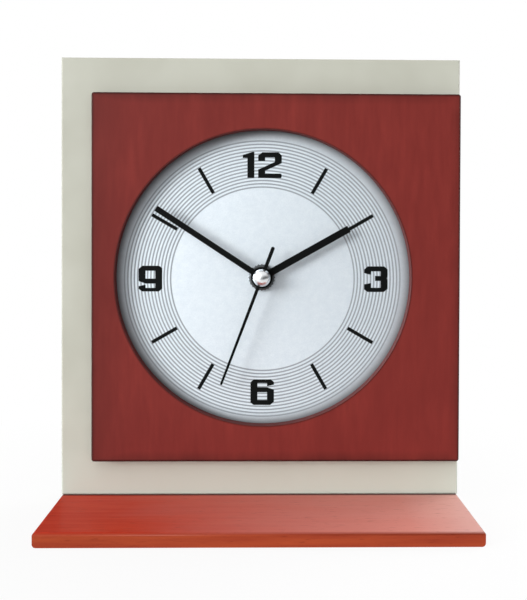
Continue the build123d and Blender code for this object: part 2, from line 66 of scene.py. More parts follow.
# The frame's round opening, whose middle lies a little to the right of the hands' axis
OPENING_SHIFT = 0.7 * MM
OPENING_RADIUS = 60.45 * MM
frame_low, frame_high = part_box("front_frame")
opening_centre = Vector((dial_centre.x + OPENING_SHIFT, frame_low.y, (frame_low.z + frame_high.z) / 2))

# Steps round the turned pieces, the flats of the solid screws' heads, and the nut's bore
RING_STEPS = 144
BATTERY_STEPS = 64
SCREW_STEPS = 24
SOLID_SCREW_FLATS = 12
NUT_BORE_RADIUS = 3.97 * MM

# The movement's plainer parts: finish, light and dark tone, scale, roughness, metallic, bump and the nodes
MOVEMENT_FINISHES = (
    ("moulded_knob", (52, 54, 57), (40, 42, 45), 1800, 0.42, 0.0, 0.08, ["setting_knob"]),
    ("soft_rubber", (24, 24, 24), (18, 18, 18), 2200, 0.7, 0.0, 0.12, ["bush_gasket"]),
    ("gear_nylon", (232, 228, 214), (218, 212, 194), 900, 0.4, 0.0, 0.05,
     ["fifth_wheel", "third_wheel", "centre_wheel", "motion_wheel", "hour_wheel", "seconds_wheel", "rotor"]),
    ("circuit_lacquer", (38, 98, 62), (24, 72, 46), 1200, 0.35, 0.0, 0.05, ["circuit_board"]),
    ("resin_drop", (20, 20, 22), (12, 12, 14), 900, 0.3, 0.0, 0.05, ["control_chip"]),
    ("crystal_tin", (196, 198, 200), (168, 171, 174), 1400, 0.25, 1.0, 0.05, ["quartz_crystal"]),
    ("soft_iron", (150, 150, 148), (120, 121, 120), 1100, 0.4, 1.0, 0.05, ["stator", "coil_core"]),
    ("spool_nylon", (226, 222, 208), (210, 205, 190), 900, 0.45, 0.0, 0.05, ["coil_spool"]),
    ("sprung_steel", (206, 205, 198), (180, 180, 175), 1500, 0.25, 1.0, 0.05,
     ["positive_contact", "negative_contact"]),
)

# Where each light stands: its direction from the dial, and its distance in metres
KEY_STAND = Vector((-1.45, -1, 0.27)), 4.0
BACK_STAND = Vector((0.75, 0.62, 0.22)), 0.9
CARD_STAND = Vector((-1.35, -1, 0.55)), 4.0
SIDE_STAND = Vector((0.3, 0.02, -0.062)), 0.3

# Sides of the room: a direction from the clock, and the dot products with it between which a level changes.
# The first two light the clock, and the last two show in shiny parts.
FILL_SIDE = (-0.5, -0.74, 0.45), 0.3, 0.95
TOP_SIDE = (-0.3, -0.3, 0.9), 0.5, 1.0
BRIGHT_SIDE = (-0.4, 0.35, 0.76), -0.4, 0.084
DARK_SIDE = (-0.35, 0.93, 0), 0.82, 0.92
DARK_LEVEL = 0.1


def srgb(red, green, blue):
    """A colour as a screen shows it, from 0 to 255, turned into scene values."""
    def linear(level):
        share = level / 255
        return share / 12.92 if share <= 0.04045 else ((share + 0.055) / 1.055) ** 2.4
    return (linear(red), linear(green), linear(blue))


def length(name, millimetres, description):
    """A setting in millimetres."""
    return FloatProperty(
        name=name, description=description, default=millimetres * MM, unit="LENGTH", subtype="DISTANCE"
    )


def strength(name, level, description, **more):
    """A setting that is never negative, such as a light's power."""
    return FloatProperty(name=name, description=description, default=level, min=0, **more)


def colour(name, description, red, green, blue):
    """A setting for a colour as a screen shows it."""
    return FloatVectorProperty(
        name=name, description=description, default=srgb(red, green, blue), subtype="COLOR", size=3,
        min=0, max=1,
    )


class ClockPrintProperties(bpy.types.PropertyGroup):
    """Sizes of what is printed on the dial."""

    ring_count: IntProperty(name="Rings", description="Fine rings printed round the dial", default=15, min=1)
    ring_radius: length("First ring", 37.9, "Radius of the innermost ring")
    ring_pitch: length("Ring pitch", 1.354, "Distance from one ring to the next")
    ring_width: length("Ring width", 0.6, "Width of a ring's line")
    print_right: length("Print right", 0.35, "How far the print's middle lies to the right of the dial's")
    print_up: length("Print up", -0.68, "How far the print's middle lies above the dial's")
    print_height: length("Print height", 0.03, "How far the print stands above the dial")
    baton_start: length("Baton start", 40.7, "Radius where an hour baton starts")
    baton_end: length("Baton end", 52.6, "Radius where an hour baton ends")
    baton_width: length("Baton width", 1.45, "Width of an hour baton")
    numeral_radius: length("Numeral radius", 46.9, "Radius of the middles of the four numerals")
    nine_inset: length("Nine inset", 0.7, "How much nearer to the middle the 9 stands")
    numeral_height: length("Numeral height", 10.6, "Height of a numeral")
    numeral_width: length("Numeral width", 9.7, "Width of a numeral other than 1")
    numeral_stem: length("Numeral stem", 2.85, "Width of a numeral's upright strokes")
    numeral_bar: length("Numeral bar", 2.05, "Height of a numeral's level strokes")
    numeral_cut: length("Numeral corner", 1.3, "How far a numeral's corners are cut off")
    twelve_gap: length("Twelve gap", 1.6, "Space between the two figures of the 12")


class ClockFittingProperties(bpy.types.PropertyGroup):
    """Sizes of the small metal fittings."""

    base_soften: length("Base softening", 1.3, "Bevel along the foot of the base plank's two ends")
    knurl_count: IntProperty(name="Knurls", description="Notches round the nut", default=24, min=8)
    knurl_depth: length("Knurl depth", 0.5, "Depth of the nut's notches")
    nut_bevel: length("Nut bevel", 0.35, "Bevel along the nut's front edge")
    nut_step: length("Nut step", 0.4, "Height of the nut's raised inner collar")
    screw_head_diameter: length("Screw head", 6.0, "Diameter of a wood screw's head")
    screw_head_height: length("Head height", 1.7, "Height of a wood screw's head")
    screw_shank_diameter: length("Screw shank", 3.0, "Diameter of a wood screw's shank")
    recess_reach: length("Recess reach", 1.7, "Half the span of a screw's cross recess")
    recess_half_width: length("Recess half width", 0.38, "Half the width of a cross recess's arms")
    recess_depth: length("Recess depth", 1.1, "Depth of a screw's cross recess")


class ClockColourProperties(bpy.types.PropertyGroup):
    """Colours that a user would change."""

    frame_stain: colour("Frame stain", "Red-brown stain of the front frame", 138, 51, 45)
    frame_dark: colour("Frame shade", "Darker streaks of the front frame", 118, 41, 37)
    # The frame's edge stain also tints the painted shade along the left rail
    frame_edge_and_shade: colour("Frame edge", "Stain soaked into the frame's cut edges", 44, 18, 17)
    base_stain: colour("Base stain", "Orange-red stain of the base plank's top", 210, 68, 38)
    base_dark: colour("Base shade", "Darker streaks of the base plank's top", 191, 49, 31)
    # Painted glare: the paler tone at the base plank's right end stands in for light glancing off it
    base_glare: colour("Worn stain", "Paler stain at the worn right end of the base plank", 230, 172, 160)
    lip_stain: colour("Base edge stain", "Orange stain of the base plank's edges", 181, 80, 48)
    lip_dark: colour("Base edge shade", "Darker streaks of the base plank's edges", 156, 60, 39)
    cream: colour("Cream", "Paint of the back board", 205, 206, 193)
    silver: colour("Silver", "Metallic lacquer of the dial", 228, 237, 243)
    ring_grey: colour("Ring grey", "Printed rings of the dial", 160, 168, 175)
    print_black: colour("Print black", "Printed batons and numerals", 10, 14, 14)
    hand_black: colour("Hand black", "Paint of the hands", 6, 9, 9)
    nut_grey: colour("Nut grey", "Blackened steel of the nut", 104, 107, 109)
    housing_black: colour("Housing", "Moulded plastic of the movement", 27, 28, 30)
    jacket: colour("Battery jacket", "Main colour of the battery's jacket", 34, 52, 92)
    jacket_band: colour("Battery band", "Band at the battery's positive end", 196, 168, 98)


class ClockStageProperties(bpy.types.PropertyGroup):
    """Light, floor and camera."""

    front_fill: strength("Front fill", 1.0, "Even light from the upper left in front of the clock")
    front_mirror: strength("Front mirror", 0.04, "How bright the room in front looks in shiny parts")
    back_fill: strength("Back fill", 0.3, "Even light from the other sides of the room")
    top_fill: strength("Top fill", 0.2, "Even light that is added from above")
    key_power: strength("Key light", 87.0, "Soft light from the left", unit="POWER")
    key_size: length("Key size", 1200, "Side of the key light")
    card_power: strength("Card", 560.0, "Soft card on the left, seen in shiny parts only", unit="POWER")
    card_size: length("Card size", 2200, "Side of the card")
    back_power: strength("Back light", 6.0, "Soft light from behind on the right", unit="POWER")
    back_size: length("Back light size", 600, "Side of the back light")
    side_power: strength("Side light", 0.3, "Low light from the right, glancing over the base", unit="POWER")
    side_size: length("Side light size", 120, "Side of the side light")
    floor_shade: strength(
        "Floor shade", 0.15, "Share of the floor's own shading that shows beside the clock", max=1,
        subtype="FACTOR",
    )
    floor_fade: length("Floor fade", 240, "Distance over which the floor's own shading fades to white")
    camera_place: FloatVectorProperty(
        name="Camera place", description="Where the camera stands",
        default=(0.47 * MM, -372.8 * MM, 112.1 * MM), subtype="XYZ", unit="LENGTH", size=3,
    )
    camera_turn: FloatVectorProperty(
        name="Camera turn", description="Yaw, pitch and roll of the camera",
        default=(math.radians(-1.104), math.radians(-0.878), math.radians(-0.201)), subtype="EULER", size=3,
    )
    camera_lens: FloatProperty(
        name="Lens", description="Focal length over a 36 mm long side", default=56.0, min=1
    )
    camera_shift: FloatVectorProperty(
        name="Camera shift", description="Shift of the view, in long sides of the picture",
        default=(-0.0276, -0.081), size=2,
    )


class TableClockProperties(bpy.types.PropertyGroup):
    """All settings of the table clock."""

    dial_print: PointerProperty(type=ClockPrintProperties)
    fittings: PointerProperty(type=ClockFittingProperties)
    colours: PointerProperty(type=ClockColourProperties)
    stage: PointerProperty(type=ClockStageProperties)


def settings():
    return bpy.context.scene.table_clock


# Shader building blocks
class NodeBench:
    """A node tree, and short ways to add to it."""

    def __init__(self, tree):
        self.tree = tree

    def node(self, kind, inputs=None, **attributes):
        """A node of a kind, with values or links for its inputs."""
        made = self.tree.nodes.new(kind)
        for key, value in attributes.items():
            setattr(made, key, value)
        for key, value in (inputs or {}).items():
            self.feed(made.inputs[key], value)
        return made

    def feed(self, socket, value):
        """Link an output to a socket, or set the socket's own value."""
        if isinstance(value, bpy.types.NodeSocket):
            self.tree.links.new(value, socket)
        elif isinstance(value, (tuple, list)) and len(value) == 3 and socket.type == "RGBA":
            socket.default_value = (*value, 1)
        else:
            socket.default_value = value

    def ramp(self, factor, low, high, start=0.0, end=1.0):
        """A number that goes from start to end while the factor goes from low to high."""
        made = self.node(
            "ShaderNodeMapRange",
            {"Value": factor, "From Min": low, "From Max": high, "To Min": start, "To Max": end},
        )
        return made.outputs["Result"]

    def math(self, operation, first, second=0.0):
        """The result of a sum on two numbers."""
        return self.node("ShaderNodeMath", {0: first, 1: second}, operation=operation).outputs["Value"]

    def times(self, first, second):
        """Two numbers multiplied."""
        return self.math("MULTIPLY", first, second)

    def strip(self, at, rise, fall, height=1.0):
        """A number that rises to a height between two places and falls to 0 between two more."""
        return self.times(self.ramp(at, *rise, 0, height), self.ramp(at, *fall, 1, 0))

    def span(self, vector):
        """The length of a vector."""
        return self.node("ShaderNodeVectorMath", {0: vector}, operation="LENGTH").outputs["Value"]


class Finish(NodeBench):
    """A new material: its node tree and its Principled shader."""

    def __init__(self, name):
        self.material = bpy.data.materials.new(name)
        self.material.use_nodes = True
        super().__init__(self.material.node_tree)
        self.shader = self.tree.nodes["Principled BSDF"]

    def surface(self, **inputs):
        """Set the Principled shader's sockets, named with underscores for spaces."""
        for key, value in inputs.items():
            self.feed(self.shader.inputs[key.replace("_", " ").title().replace("Ior", "IOR")], value)
        return self.material

    def place(self, stretch=(1, 1, 1), shift=(0, 0, 0)):
        """Object coordinates, stretched and shifted for a pattern."""
        coordinates = self.node("ShaderNodeTexCoord").outputs["Object"]
        mapping = self.node("ShaderNodeMapping", {"Vector": coordinates, "Scale": stretch, "Location": shift})
        return mapping.outputs["Vector"]

    def axes(self, shift=(0, 0, 0)):
        """The X, Y and Z of Object coordinates, shifted."""
        return self.node("ShaderNodeSeparateXYZ", {"Vector": self.place(shift=shift)}).outputs

    def radius_round(self, centre):
        """The distance from a level axis along Y through a point."""
        at = self.axes((-centre.x, 0, -centre.z))
        flat = self.node("ShaderNodeCombineXYZ", {"X": at["X"], "Y": at["Z"]})
        return self.span(flat.outputs["Vector"])

    def noise(self, scale, stretch=(1, 1, 1), detail=4.0, roughness=0.55, distortion=0.0):
        """A cloudy pattern from 0 to 1, with scale in patches per metre."""
        made = self.node(
            "ShaderNodeTexNoise",
            {"Vector": self.place(stretch), "Scale": scale, "Detail": detail, "Roughness": roughness,
             "Distortion": distortion},
        )
        return made.outputs["Fac"]

    def blend(self, factor, first, second):
        """Two colours mixed by a factor."""
        made = self.node("ShaderNodeMix", {"Factor": factor, 6: first, 7: second}, data_type="RGBA")
        return made.outputs[2]

    def relief(self, height, strength, distance):
        """A bump from a height, for the shader's normal."""
        made = self.node("ShaderNodeBump", {"Height": height, "Strength": strength, "Distance": distance})
        return made.outputs["Normal"]


def frame_border(finish):
    """How far a point lies inside the front frame's nearest outer edge, in metres."""
    at = finish.axes()
    nearest = finish.math("SUBTRACT", at["X"], frame_low.x)
    for first, second in ((frame_high.x, at["X"]), (at["Z"], frame_low.z), (frame_high.z, at["Z"])):
        nearest = finish.math("MINIMUM", nearest, finish.math("SUBTRACT", first, second))
    return nearest


def wood_grain(finish, stretch_bands, stretch_streaks):
    """Soft wide bands and fine streaks along the grain, each from 0 to 1."""
    bands = finish.noise(70, stretch_bands, detail=3, distortion=0.6)
    streaks = finish.noise(420, stretch_streaks, detail=6, roughness=0.65, distortion=0.15)
    return finish.ramp(bands, 0.3, 0.7), finish.ramp(streaks, 0.3, 0.72)


def stained_frame_finish():
    """Red-brown stain over fine upright grain, darker where it soaked into the cut edges, with painted shade
    along the left rail.
    """
    colours = settings().colours
    dark, edge_stain_and_shade_tone = colours.frame_dark[:], colours.frame_edge_and_shade[:]
    smoke_width, left_shade_width = 4.5 * MM, 16 * MM
    finish = Finish("stained_frame")
    bands, streaks = wood_grain(finish, (1, 1, 0.4), (1, 1, 0.14))
    stain = finish.blend(finish.times(streaks, 0.7), colours.frame_stain[:], dark)
    stain = finish.blend(finish.times(bands, 0.6), stain, dark)
    border = frame_border(finish)
    smoked = finish.times(finish.ramp(border, 0, smoke_width, 0.5, 0), finish.ramp(bands, 0, 1, 0.4, 1))
    # Painted shade darkens the left rail, fading out over its first 16 mm
    left_rail_shade = finish.ramp(finish.axes()["X"], frame_low.x, frame_low.x + left_shade_width, 0.26, 0)
    stain = finish.blend(finish.math("MAXIMUM", smoked, left_rail_shade), stain, edge_stain_and_shade_tone)
    edge = finish.ramp(border, 0.2 * MM, 1.2 * MM, 1, 0)
    radius = finish.radius_round(opening_centre)
    rim = finish.ramp(radius, OPENING_RADIUS + 0.2 * MM, OPENING_RADIUS + 0.7 * MM, 1, 0)
    soaked = finish.math("MAXIMUM", finish.times(edge, 0.85), finish.times(rim, 0.6))
    stain = finish.blend(soaked, stain, edge_stain_and_shade_tone)
    return finish.surface(
        base_color=stain,
        roughness=finish.ramp(streaks, 0, 1, 0.6, 0.48),
        normal=finish.relief(streaks, 0.12, 0.1 * MM),
        specular_ior_level=0.07,
    )


def lacquered_base_finish():
    """Orange-red stain with level grain and small pores, more orange along the plank's edges."""
    colours = settings().colours
    glare_tone, pore_tone = srgb(226, 202, 194), srgb(110, 34, 24)
    crest_shade_tone, joint_shadow_tone = srgb(120, 40, 28), srgb(52, 26, 24)
    sheen_start, sheen_sway, glare_width = -46 * MM, 20 * MM, 26 * MM
    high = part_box("base_plank")[1]
    right, top = high.x, high.z
    board_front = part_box("back_board")[0].y
    finish = Finish("lacquered_base")
    at = finish.axes()
    bands, streaks = wood_grain(finish, (0.16, 1, 1), (0.05, 1, 1))
    pores = finish.ramp(finish.noise(1500, (0.12, 1, 1), detail=2), 0.63, 0.72)
    grain = finish.ramp(streaks, 0, 1, 0.25, 0.85)
    stain = finish.blend(grain, colours.base_dark[:], colours.base_stain[:])
    stain = finish.blend(finish.times(bands, 0.45), stain, colours.base_dark[:])

    # Painted glare and sheen: the stain turns paler towards the right end, where light glances off the
    # lacquer
    wavy = finish.math("ADD", at["X"], finish.times(bands, sheen_sway))
    sheen_share = finish.ramp(wavy, sheen_start, right + 10 * MM, 0, 0.7)
    stain = finish.blend(sheen_share, stain, colours.base_glare[:])
    stain = finish.blend(finish.ramp(at["X"], right - glare_width, right, 0, 0.3), stain, glare_tone)

    # The orange edges, the pores, and painted shade along the top edge that damps its highlight
    lip = finish.blend(streaks, colours.lip_dark[:], colours.lip_stain[:])
    stain = finish.blend(finish.ramp(at["Z"], top - 0.8 * MM, top - 0.1 * MM, 1, 0), stain, lip)
    stain = finish.blend(finish.times(pores, 0.35), stain, pore_tone)
    # Painted shade on the rounded top front edge
    crest_shade = finish.strip(at["Z"], (top - 1.2 * MM, top - 0.7 * MM), (top - 0.2 * MM, top - 0.02 * MM), 0.3)
    stain = finish.blend(crest_shade, stain, crest_shade_tone)

    # Painted shadow along the joint where the back board stands on the top
    before = (board_front - 2.2 * MM, board_front - 0.8 * MM)
    behind = (board_front + 1 * MM, board_front + 2 * MM)
    joint_shadow = finish.strip(at["Y"], before, behind, 0.85)
    joint_shadow = finish.times(joint_shadow, finish.ramp(at["Z"], top - 0.3 * MM, top - 0.1 * MM))
    stain = finish.blend(joint_shadow, stain, joint_shadow_tone)
    return finish.surface(
        base_color=stain,
        roughness=finish.ramp(streaks, 0, 1, 0.44, 0.34),
        normal=finish.relief(finish.math("SUBTRACT", streaks, pores), 0.1, 0.1 * MM),
        specular_ior_level=0.04,
    )


def cream_paint_finish():
    """Smooth satin paint with a faint roller texture, with painted light at the board's foot that lifts the
    shade and reddish bounce there.
    """
    cloud_tone, foot_light_tone, foot_light_height = srgb(192, 192, 178), srgb(211, 219, 207), 26 * MM
    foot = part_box("back_board")[0].z
    finish = Finish("cream_paint")
    clouds = finish.noise(45, detail=2)
    pebble = finish.noise(1800, detail=2)
    shade = finish.blend(finish.ramp(clouds, 0.35, 0.7, 0, 0.5), settings().colours.cream[:], cloud_tone)
    # Painted light: the paint turns paler and greener near the foot
    shade = finish.blend(finish.ramp(finish.axes()["Z"], foot, foot + foot_light_height, 1, 0), shade, foot_light_tone)
    return finish.surface(
        base_color=shade,
        roughness=finish.ramp(clouds, 0.3, 0.7, 0.48, 0.4),
        normal=finish.relief(pebble, 0.06, 0.05 * MM),
        specular_ior_level=0.15,
    )


def silver_dial_finish():
    """Metallic lacquer with a fine sparkle, with painted shade darkening it towards the rim that the frame
    covers.
    """
    flake_tone, cloud_tone, rim_shade_tone = srgb(206, 217, 225), srgb(208, 219, 228), srgb(72, 76, 79)
    rim_shade_width = 7 * MM
    finish = Finish("silver_dial")
    flakes = finish.noise(2600, detail=2, roughness=0.6)
    clouds = finish.noise(420, detail=4, roughness=0.65)
    shade = finish.blend(finish.ramp(flakes, 0.35, 0.68, 0, 0.45), settings().colours.silver[:], flake_tone)
    shade = finish.blend(finish.ramp(clouds, 0.36, 0.64, 0, 0.4), shade, cloud_tone)
    # Painted shade: darker towards the frame's wall, where the recess shades the dial
    radius = finish.radius_round(opening_centre)
    reach = finish.ramp(radius, OPENING_RADIUS - rim_shade_width, OPENING_RADIUS - 0.2 * MM)
    shade = finish.blend(finish.times(finish.math("POWER", reach, 2.2), 0.74), shade, rim_shade_tone)
    return finish.surface(
        base_color=shade,
        metallic=0.62,
        roughness=finish.ramp(flakes, 0.3, 0.7, 0.4, 0.47),
        normal=finish.relief(flakes, 0.08, 0.02 * MM),
        specular_ior_level=0.25,
    )


def mottled_finish(name, light, dark, scale, roughness, metallic=0.0, bump=0.05, specular=0.5):
    """A finish whose tone, gloss and surface vary finely, for moulded, painted and plated parts."""
    finish = Finish(name)
    specks = finish.noise(scale, detail=3)
    return finish.surface(
        base_color=finish.blend(finish.ramp(specks, 0.35, 0.68), light, dark),
        metallic=metallic,
        roughness=finish.ramp(specks, 0.3, 0.7, roughness - 0.05, roughness + 0.05),
        normal=finish.relief(specks, bump, 0.04 * MM),
        specular_ior_level=specular,
    )


def turned_finish(name, light, dark, centre, roughness, lines):
    """A metal with fine turning lines round an axis along Y."""
    finish = Finish(name)
    waves = finish.math("SINE", finish.times(finish.radius_round(centre), lines))
    return finish.surface(
        base_color=finish.blend(finish.ramp(waves, -1, 1), light, dark),
        metallic=1.0,
        roughness=finish.ramp(waves, -1, 1, roughness - 0.04, roughness + 0.04),
        normal=finish.relief(waves, 0.05, 0.02 * MM),
    )


def wound_wire_finish():
    """Enamelled copper wire in close turns along the coil's upright axis."""
    finish = Finish("wound_copper")
    turns = finish.math("SINE", finish.times(finish.axes()["Z"], 26000))
    return finish.surface(
        base_color=finish.blend(finish.ramp(turns, -1, 1), srgb(118, 58, 30), srgb(190, 104, 58)),
        metallic=1.0,
        roughness=finish.ramp(turns, -1, 1, 0.42, 0.28),
        normal=finish.relief(turns, 0.5, 0.06 * MM),
    )


def battery_jacket_finish(start, total):
    """Printed film: one plain colour with a stripe and a band at the positive end."""
    colours = settings().colours
    finish = Finish("battery_film")
    along = finish.ramp(finish.axes()["X"], start, start + total)
    specks = finish.noise(1800, detail=2)
    mottle = finish.ramp(specks, 0.3, 0.7)
    jacket = finish.blend(mottle, *two_tones(colours.jacket, 0.85))
    band = finish.blend(mottle, *two_tones(colours.jacket_band, 0.9))
    shade = finish.blend(finish.ramp(along, 0.76, 0.763), jacket, band)
    stripe = finish.strip(along, (0.72, 0.722), (0.738, 0.74))
    return finish.surface(
        base_color=finish.blend(stripe, shade, colours.jacket_band[:]),
        metallic=0.25,
        roughness=finish.ramp(specks, 0.3, 0.7, 0.25, 0.33),
        normal=finish.relief(specks, 0.03, 0.02 * MM),
        coat_weight=0.4,
        coat_roughness=0.1,
    )


def two_tones(colour_value, share):
    """A colour, and the same made darker by a share."""
    return colour_value[:], tuple(level * share for level in colour_value)


def dress(material, *nodes):
    """Give CAD nodes a finish."""
    for name in nodes:
        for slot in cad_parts[name].material_slots:
            slot.material = material


def new_object(name, build, material):
    """Turn a bmesh into an object with a finish."""
    mesh = bpy.data.meshes.new(name)
    build.to_mesh(mesh)
    build.free()
    mesh.materials.append(material)
    made = bpy.data.objects.new(name, mesh)
    bpy.context.scene.collection.objects.link(made)
    return made


def add_piece(name, build, material, body, replaced=(), smooth_below=None):
    """Add a piece with a finish that rides on a body, shaded smooth below an angle."""
    piece = new_object(name, build, material)
    if smooth_below is not None:
        piece.data.shade_smooth()
        piece.data.set_sharp_from_angle(angle=math.radians(smooth_below))
    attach(piece, body)
    if replaced:
        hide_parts(*replaced)


def only(parts, kind):
    """Those parts of a bmesh result that are of one kind."""
    return [part for part in parts if isinstance(part, kind)]


def closed_loop(build, points):
    """Vertices at the points, joined by edges into a closed loop."""
    corners = [build.verts.new(point) for point in points]
    edges = [build.edges.new(pair) for pair in zip(corners, corners[1:] + corners[:1])]
    return corners, edges


def spin_section(build, section, steps):
    """Spin a closed section of radius and level round the Z axis."""
    corners, edges = closed_loop(build, [(radius, 0, level) for radius, level in section])
    bmesh.ops.spin(
        build, geom=corners + edges, cent=(0, 0, 0), axis=(0, 0, 1), angle=FULL_TURN, steps=steps,
        use_merge=True,
    )


def finish_mesh(build, place):
    """Merge doubles, turn the faces outwards and move the mesh to its place."""
    bmesh.ops.remove_doubles(build, verts=build.verts, dist=MERGE_DISTANCE)
    bmesh.ops.recalc_face_normals(build, faces=build.faces)
    bmesh.ops.transform(build, matrix=place, verts=build.verts)
    return build


def on_hands_axis(back):
    """The place of a fitting that faces the viewer, with its back at a depth on the hands' axis."""
    return Matrix.Translation((face_origin.x, back, face_origin.z)) @ STAND_UP


def raise_figure(build, outlines, height, place):
    """Fill closed outlines, with holes, and raise them to a height."""
    corners, edges = [], []
    for outline in outlines:
        loop_corners, loop_edges = closed_loop(build, [(across, up, 0) for across, up in outline])
        corners += loop_corners
        edges += loop_edges
    filled = bmesh.ops.triangle_fill(build, use_beauty=True, edges=edges, normal=(0, 0, 1))
    raised = bmesh.ops.extrude_face_region(build, geom=only(filled["geom"], bmesh.types.BMFace))
    tops = only(raised["geom"], bmesh.types.BMVert)
    bmesh.ops.translate(build, vec=(0, 0, height), verts=tops)
    bmesh.ops.transform(build, matrix=place, verts=corners + tops)


def figure_sides(height, width):
    """The top, bottom, right and left of a figure round its middle."""
    return height / 2, -height / 2, width / 2, -width / 2


def figure_one(height, stem, bar):
    """The outline of a 1 with a short flag."""
    top, bottom, right, left = figure_sides(height, stem)
    flag = left - 0.68 * stem
    return [[(flag, top - 0.55 * bar), (right - 0.15 * stem, top + 0.12 * bar), (right, top), (right, bottom),
             (left, bottom), (left, top - 1.15 * bar), (flag, top - 1.15 * bar)]]


def figure_two(height, width, stem, bar, cut):
    """The outline of a 2 with cut corners."""
    top, bottom, right, left = figure_sides(height, width)
    knee = top - 0.42 * height
    foot = bottom + 0.28 * height
    return [[(left, top - 0.34 * height), (left, top - cut), (left + 1.3 * cut, top), (right - cut, top),
             (right, top - cut), (right, knee), (left + stem, foot), (left + stem, bottom + 0.9 * bar),
             (right - 0.25 * cut, bottom + 0.9 * bar), (right, bottom + 0.6 * bar),
             (right, bottom + 0.3 * bar), (right - 0.25 * cut, bottom), (left, bottom),
             (left, foot + 0.25 * bar), (right - stem, knee + 0.25 * bar), (right - stem, top - bar),
             (left + stem, top - bar), (left + stem, top - 0.34 * height)]]


def figure_three(height, width, stem, bar, cut):
    """The outline of a 3 with cut corners and a notch at its waist."""
    top, bottom, right, left = figure_sides(height, width)
    waist = 0.03 * height
    notch = 0.055 * height
    tongue = left + 1.58 * stem
    return [[(left, top - cut), (left + 1.1 * cut, top), (right - 1.1 * cut, top), (right, top - cut),
             (right, waist + notch), (right - 0.7 * notch, waist), (right, waist - notch),
             (right, bottom + cut), (right - 1.2 * cut, bottom), (left + 1.1 * cut, bottom),
             (left, bottom + 0.8 * cut), (left, bottom + 0.3 * height),
             (left + stem, bottom + 0.345 * height), (left + stem, bottom + 0.85 * bar),
             (right - stem, bottom + 0.85 * bar),
             (right - stem, waist - bar / 2), (tongue, waist - bar / 2), (tongue, waist + bar / 2),
             (right - stem, waist + bar / 2), (right - stem, top - bar), (left + stem, top - bar),
             (left + stem, top - 0.32 * height), (left + 0.68 * stem, top - 0.315 * height),
             (left, top - 0.265 * height)]]


def figure_nine(height, width, stem, bar, cut):
    """The outline of a 9 with cut corners, and the hole of its bowl."""
    top, bottom, right, left = figure_sides(height, width)
    bowl = top - 0.5 * height
    outer = [(left, top - cut), (left + 1.2 * cut, top), (right - cut, top), (right, top - 0.8 * cut),
             (right, bottom + 0.9 * cut), (right - 1.05 * cut, bottom), (left + 1.05 * cut, bottom),
             (left, bottom + 0.85 * cut), (left, bottom + 0.205 * height),
             (left + stem, bottom + 0.265 * height), (left + stem, bottom + 0.72 * bar),
             (right - stem, bottom + 0.72 * bar), (right - stem, bowl - bar), (left + stem, bowl - bar),
             (left, bowl - 0.52 * bar)]
    hole = [(left + stem, top - bar), (right - stem, top - bar), (right - stem, bowl), (left + stem, bowl)]
    return [outer, hole]


def lower_end_edge(edge, low, high):
    """Whether an edge lies along the foot of a box's left or right end."""
    ends = [vertex.co for vertex in edge.verts]
    near = 0.05 * MM
    on_foot = all(abs(end.z - low.z) < near for end in ends)
    return on_foot and any(all(abs(end.x - wall) < near for end in ends) for wall in (low.x, high.x))


def add_screw(build, total_length, place):
    """A countersunk screw with a cross recess, its head's flat face at zero and its shank along -Z."""
    sizes = settings().fittings
    head, shank = sizes.screw_head_diameter / 2, sizes.screw_shank_diameter / 2
    reach, half = sizes.recess_reach, sizes.recess_half_width
    taper = 0.35
    known = set(build.verts)
    arm = [Vector((reach, -half, 0)), Vector((reach, half, 0)), Vector((half, half, 0))]
    turns = [Matrix.Rotation(FULL_TURN * quarter / 4, 3, "Z") for quarter in range(4)]
    recess_edges = closed_loop(build, [turn @ corner for turn in turns for corner in arm])[1]
    rim = bmesh.ops.create_circle(build, segments=SCREW_STEPS, radius=head)["verts"]
    rim_edges = list(dict.fromkeys(edge for vertex in rim for edge in vertex.link_edges))
    bmesh.ops.bridge_loops(build, edges=recess_edges + rim_edges)
    for edges, steps in (
        (recess_edges, [(taper, -sizes.recess_depth)]),
        (rim_edges, [(shank / head, -sizes.screw_head_height), (1, sizes.screw_head_height - total_length)]),
    ):
        for share, drop in steps:
            made = bmesh.ops.extrude_edge_only(build, edges=edges)["geom"]
            ends = only(made, bmesh.types.BMVert)
            edges = [edge for edge in only(made, bmesh.types.BMEdge)
                     if edge.verts[0] in ends and edge.verts[1] in ends]
            bmesh.ops.scale(build, vec=(share, share, 1), verts=ends)
            bmesh.ops.translate(build, vec=(0, 0, drop), verts=ends)
        bmesh.ops.edgeloop_fill(build, edges=edges)
    fresh = [vertex for vertex in build.verts if vertex not in known]
    bmesh.ops.transform(build, matrix=place, verts=fresh)


def add_screws(name, node, total_length, places, material):
    """Add like screws at several places as one piece, in place of a CAD node."""
    build = bmesh.new()
    for place in places:
        add_screw(build, total_length, place)
    screws = finish_mesh(build, Matrix.Identity(4))
    add_piece(name, screws, material, "clock_body", [node], 30)


class CLOCK_OT_wooden_body(bpy.types.Operator):
    """Finish the base plank, the back board and the front frame"""

    bl_idname = "table_clock.wooden_body"
    bl_label = "Wooden body"

    def execute(self, context):
        low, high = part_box("base_plank")
        plank = bmesh.new()
        plank.from_mesh(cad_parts["base_plank"].data)
        bmesh.ops.remove_doubles(plank, verts=plank.verts, dist=MERGE_DISTANCE)
        bmesh.ops.dissolve_limit(plank, angle_limit=math.radians(0.5), verts=plank.verts, edges=plank.edges)
        bmesh.ops.bevel(
            plank, geom=[edge for edge in plank.edges if lower_end_edge(edge, low, high)],
            offset=settings().fittings.base_soften, offset_type="OFFSET", affect="EDGES", segments=3,
            profile=0.5, material=-1, clamp_overlap=True,
        )
        bmesh.ops.triangulate(plank, faces=[face for face in plank.faces if len(face.verts) > 4])
        add_piece("softened_base", plank, lacquered_base_finish(), "clock_body", ["base_plank"])
        dress(cream_paint_finish(), "back_board")
        dress(stained_frame_finish(), "front_frame")
        return {"FINISHED"}


